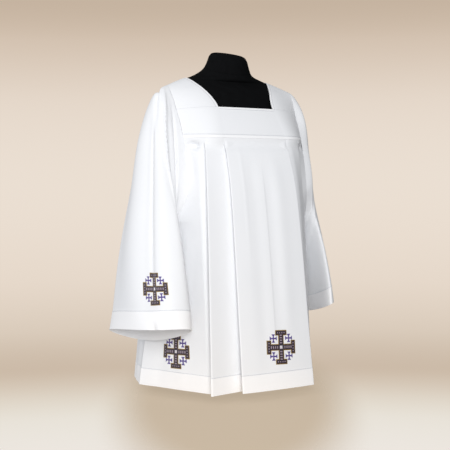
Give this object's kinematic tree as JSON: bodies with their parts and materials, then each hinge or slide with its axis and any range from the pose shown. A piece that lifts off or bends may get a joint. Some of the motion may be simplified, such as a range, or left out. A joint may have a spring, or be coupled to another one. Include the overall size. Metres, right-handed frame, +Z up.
{
  "type": "surplice on a dress form",
  "caption": "Wide white pleated surplice with a square neck and open bell sleeves, worn by a limbless torso form on a post and a round base plate.",
  "frame": {"origin": "middle of the base plate's underside", "axes": "+Z up, -Y to the wearer's front, +X to the wearer's left"},
  "size_m": [0.7309, 0.4822, 1.0171],
  "materials": {
    "cloth": "white woven cloth with a slight sheen",
    "form_cover": "black jersey stretched over the form",
    "stand": "satin dark paint"
  },
  "bodies": {
    "root": {"front_yoke": "cloth", "back_yoke": "cloth", "shoulder_strap_left": "cloth", "shoulder_strap_right": "cloth", "front_body": "cloth", "back_body": "cloth", "sleeve_left": "cloth", "sleeve_right": "cloth", "dress_form": "form_cover", "stand_post": "stand", "stand_base": "stand"}
  },
  "joints": []
}
